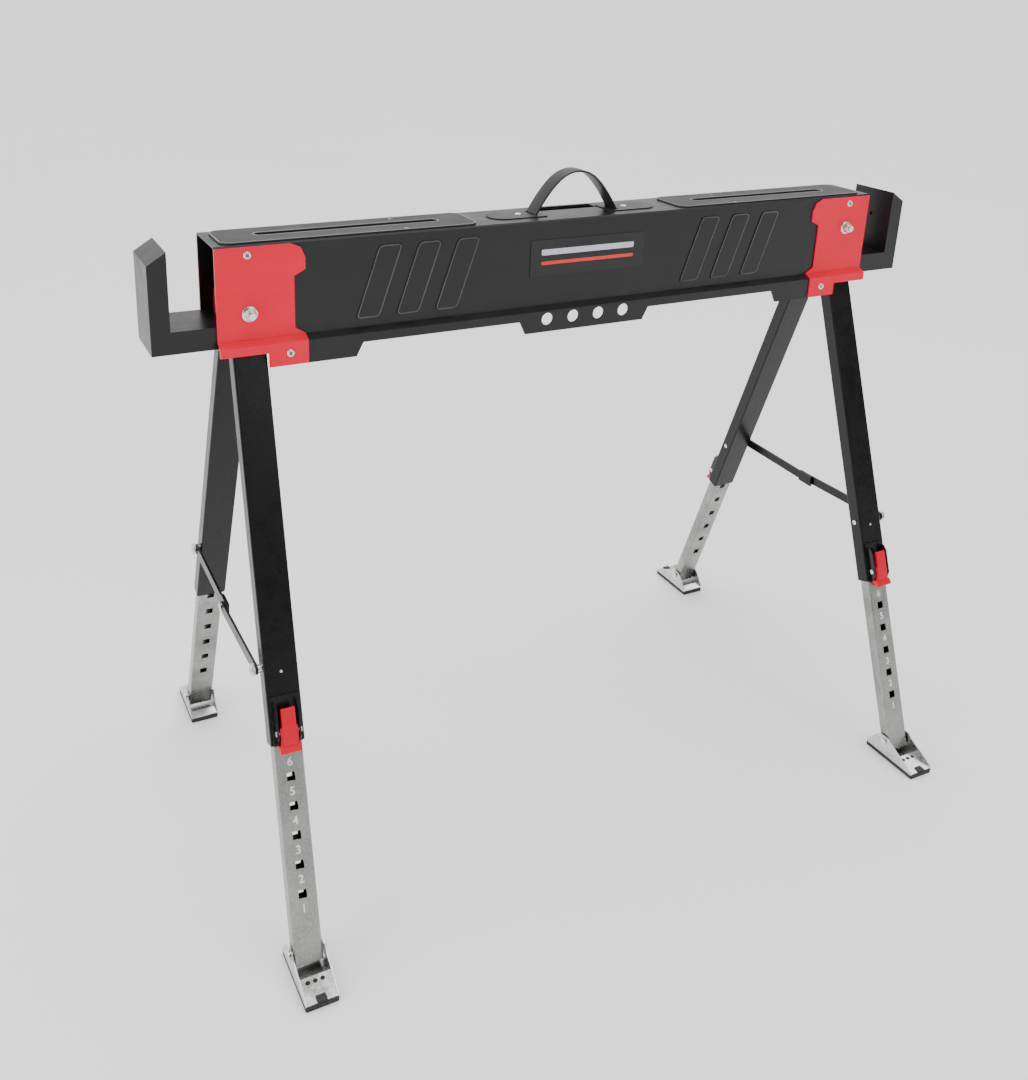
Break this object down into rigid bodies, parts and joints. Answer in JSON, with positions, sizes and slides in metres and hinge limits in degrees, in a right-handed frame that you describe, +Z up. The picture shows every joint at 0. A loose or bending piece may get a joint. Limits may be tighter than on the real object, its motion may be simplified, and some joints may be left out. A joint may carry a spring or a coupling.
{
  "type": "folding sawhorse",
  "caption": "Folding steel sawhorse: a padded beam with L-shaped lumber supports on braced folding leg pairs whose telescoping legs latch at set heights on swivel feet.",
  "frame": {"origin": "on the floor, under the middle of the beam, with the legs open and fully extended", "axes": "+X along the beam to the right-hand lumber support, -Y out of the front face, which carries the badge and the fold bolts' nuts, +Z up"},
  "size_m": [1.11, 0.6362, 0.869],
  "materials": {
    "black_paint": "satin black powder coat",
    "red_paint": "gloss red powder coat",
    "red_plastic": "gloss red moulded plastic",
    "pad_rubber": "dark textured pad",
    "sole_rubber": "matt black rubber",
    "strap_rubber": "smooth black flexible strap",
    "black_plastic": "fine-grained black plastic",
    "badge": "printed foil, plain shapes only",
    "zinc_plate": "bright zinc plating",
    "bright_steel": "bright zinc-plated fastener"
  },
  "bodies": {
    "beam": {"beam_shell": "black_paint", "left_top_pad": "pad_rubber", "right_top_pad": "pad_rubber", "pad_screws": "bright_steel", "handle_strap": "strap_rubber", "handle_plates": "black_plastic", "handle_rivets": "bright_steel", "left_front_end_plate": "red_paint", "left_rear_end_plate": "red_paint", "right_front_end_plate": "red_paint", "right_rear_end_plate": "red_paint", "end_plate_rivets": "bright_steel", "badge_plate": "badge", "left_lumber_support": "black_paint", "right_lumber_support": "black_paint", "fold_bolts": "bright_steel", "fold_nuts": "bright_steel"},
    "left_bracket": {"left_hinge_bracket": "red_paint", "left_swing_pins": "bright_steel"},
    "left_front_leg": {"left_front_outer_leg": "black_paint", "left_front_latch_housing": "black_paint", "left_front_leg_hardware": "bright_steel"},
    "left_front_lever": {"left_front_latch_lever": "red_plastic"},
    "left_front_extension": {"left_front_inner_leg": "zinc_plate", "left_front_foot_pin": "bright_steel"},
    "left_front_shoe": {"left_front_foot": "zinc_plate", "left_front_foot_sole": "sole_rubber"},
    "left_front_brace": {"left_front_brace_link": "black_paint", "left_brace_rivet": "bright_steel"},
    "left_rear_leg": {"left_rear_outer_leg": "black_paint", "left_rear_latch_housing": "black_paint", "left_rear_leg_hardware": "bright_steel"},
    "left_rear_lever": {"left_rear_latch_lever": "red_plastic"},
    "left_rear_extension": {"left_rear_inner_leg": "zinc_plate", "left_rear_foot_pin": "bright_steel"},
    "left_rear_shoe": {"left_rear_foot": "zinc_plate", "left_rear_foot_sole": "sole_rubber"},
    "left_rear_brace": {"left_rear_brace_link": "black_paint"},
    "right_bracket": {"right_hinge_bracket": "red_paint", "right_swing_pins": "bright_steel"},
    "right_front_leg": {"right_front_outer_leg": "black_paint", "right_front_latch_housing": "black_paint", "right_front_leg_hardware": "bright_steel"},
    "right_front_lever": {"right_front_latch_lever": "red_plastic"},
    "right_front_extension": {"right_front_inner_leg": "zinc_plate", "right_front_foot_pin": "bright_steel"},
    "right_front_shoe": {"right_front_foot": "zinc_plate", "right_front_foot_sole": "sole_rubber"},
    "right_front_brace": {"right_front_brace_link": "black_paint", "right_brace_rivet": "bright_steel"},
    "right_rear_leg": {"right_rear_outer_leg": "black_paint", "right_rear_latch_housing": "black_paint", "right_rear_leg_hardware": "bright_steel"},
    "right_rear_lever": {"right_rear_latch_lever": "red_plastic"},
    "right_rear_extension": {"right_rear_inner_leg": "zinc_plate", "right_rear_foot_pin": "bright_steel"},
    "right_rear_shoe": {"right_rear_foot": "zinc_plate", "right_rear_foot_sole": "sole_rubber"},
    "right_rear_brace": {"right_rear_brace_link": "black_paint"}
  },
  "joints": [
    {"name": "left_fold", "type": "hinge", "parent": "beam", "child": "left_bracket", "pos_m": [-0.44403, 0, 0.733], "axis": [0, 1, 0], "range_deg": [-85, 0]},
    {"name": "left_front_swing", "type": "hinge", "parent": "left_bracket", "child": "left_front_leg", "pos_m": [-0.44444, -0.01776, 0.718], "axis": [0.9996, 0, -0.027], "range_deg": [0, 19.4]},
    {"name": "left_front_brace_turn", "type": "hinge", "parent": "left_front_leg", "child": "left_front_brace", "pos_m": [-0.45461, -0.15019, 0.34208], "axis": [0.9996, 0, -0.027], "range_deg": [0, 65.34]},
    {"name": "left_front_foot_tip", "type": "hinge", "parent": "left_front_extension", "child": "left_front_shoe", "pos_m": [-0.46313, -0.26114, 0.02716], "axis": [0.9996, 0, -0.027], "range_deg": [-109.4, 0]},
    {"name": "left_front_height", "type": "slide", "parent": "left_front_leg", "child": "left_front_extension", "axis": [-0.0255, -0.3322, -0.9429], "range_m": [-0.171, 0]},
    {"name": "left_front_latch_press", "type": "hinge", "parent": "left_front_leg", "child": "left_front_lever", "pos_m": [-0.45635, -0.18968, 0.27755], "axis": [-0.9996, 0, 0.027], "range_deg": [0, 13], "stiffness_Nm_per_rad": 0.3, "springref_deg": -5.73},
    {"name": "left_rear_swing", "type": "hinge", "parent": "left_bracket", "child": "left_rear_leg", "pos_m": [-0.44444, 0.01776, 0.718], "axis": [0.9996, 0, -0.027], "range_deg": [-19.4, 0]},
    {"name": "left_rear_brace_turn", "type": "hinge", "parent": "left_rear_leg", "child": "left_rear_brace", "pos_m": [-0.45461, 0.15019, 0.34208], "axis": [0.9996, 0, -0.027], "range_deg": [-65.34, 0]},
    {"name": "left_rear_foot_tip", "type": "hinge", "parent": "left_rear_extension", "child": "left_rear_shoe", "pos_m": [-0.46313, 0.26114, 0.02716], "axis": [0.9996, 0, -0.027], "range_deg": [0, 109.4]},
    {"name": "left_rear_height", "type": "slide", "parent": "left_rear_leg", "child": "left_rear_extension", "axis": [-0.0255, 0.3322, -0.9429], "range_m": [-0.171, 0]},
    {"name": "left_rear_latch_press", "type": "hinge", "parent": "left_rear_leg", "child": "left_rear_lever", "pos_m": [-0.45635, 0.18968, 0.27755], "axis": [0.9996, 0, -0.027], "range_deg": [0, 13], "stiffness_Nm_per_rad": 0.3, "springref_deg": -5.73},
    {"name": "right_fold", "type": "hinge", "parent": "beam", "child": "right_bracket", "pos_m": [0.44313, 0, 0.7664], "axis": [0, 1, 0], "range_deg": [0, 82]},
    {"name": "right_front_swing", "type": "hinge", "parent": "right_bracket", "child": "right_front_leg", "pos_m": [0.44392, -0.01102, 0.73714], "axis": [0.9996, 0, 0.027], "range_deg": [0, 19.4]},
    {"name": "right_front_brace_turn", "type": "hinge", "parent": "right_front_leg", "child": "right_front_brace", "pos_m": [0.45461, -0.15019, 0.34208], "axis": [0.9996, 0, 0.027], "range_deg": [0, 67.92]},
    {"name": "right_front_foot_tip", "type": "hinge", "parent": "right_front_extension", "child": "right_front_shoe", "pos_m": [0.46313, -0.26114, 0.02716], "axis": [0.9996, 0, 0.027], "range_deg": [-109.4, 0]},
    {"name": "right_front_height", "type": "slide", "parent": "right_front_leg", "child": "right_front_extension", "axis": [-0.0255, 0.3322, 0.9429], "range_m": [0, 0.171]},
    {"name": "right_front_latch_press", "type": "hinge", "parent": "right_front_leg", "child": "right_front_lever", "pos_m": [0.45635, -0.18968, 0.27755], "axis": [0.9996, 0, 0.027], "range_deg": [-13, 0], "stiffness_Nm_per_rad": 0.3, "springref_deg": 5.73},
    {"name": "right_rear_swing", "type": "hinge", "parent": "right_bracket", "child": "right_rear_leg", "pos_m": [0.44392, 0.01102, 0.73714], "axis": [0.9996, 0, 0.027], "range_deg": [-19.4, 0]},
    {"name": "right_rear_brace_turn", "type": "hinge", "parent": "right_rear_leg", "child": "right_rear_brace", "pos_m": [0.45461, 0.15019, 0.34208], "axis": [0.9996, 0, 0.027], "range_deg": [-67.92, 0]},
    {"name": "right_rear_foot_tip", "type": "hinge", "parent": "right_rear_extension", "child": "right_rear_shoe", "pos_m": [0.46313, 0.26114, 0.02716], "axis": [0.9996, 0, 0.027], "range_deg": [0, 109.4]},
    {"name": "right_rear_height", "type": "slide", "parent": "right_rear_leg", "child": "right_rear_extension", "axis": [-0.0255, -0.3322, 0.9429], "range_m": [0, 0.171]},
    {"name": "right_rear_latch_press", "type": "hinge", "parent": "right_rear_leg", "child": "right_rear_lever", "pos_m": [0.45635, 0.18968, 0.27755], "axis": [-0.9996, 0, -0.027], "range_deg": [-13, 0], "stiffness_Nm_per_rad": 0.3, "springref_deg": 5.73}
  ],
  "couplings": [
    {"joint": "left_front_swing", "follows": "left_fold", "ratio": -0.22823},
    {"joint": "left_front_brace_turn", "follows": "left_fold", "ratio": -0.76866},
    {"joint": "left_front_foot_tip", "follows": "left_fold", "ratio": 1.2871},
    {"joint": "left_rear_swing", "follows": "left_fold", "ratio": 0.22823},
    {"joint": "left_rear_brace_turn", "follows": "left_fold", "ratio": 0.76866},
    {"joint": "left_rear_foot_tip", "follows": "left_fold", "ratio": -1.2871},
    {"joint": "right_front_swing", "follows": "right_fold", "ratio": 0.23658},
    {"joint": "right_front_brace_turn", "follows": "right_fold", "ratio": 0.82829},
    {"joint": "right_front_foot_tip", "follows": "right_fold", "ratio": -1.3341},
    {"joint": "right_rear_swing", "follows": "right_fold", "ratio": -0.23658},
    {"joint": "right_rear_brace_turn", "follows": "right_fold", "ratio": -0.82829},
    {"joint": "right_rear_foot_tip", "follows": "right_fold", "ratio": 1.3341}
  ]
}
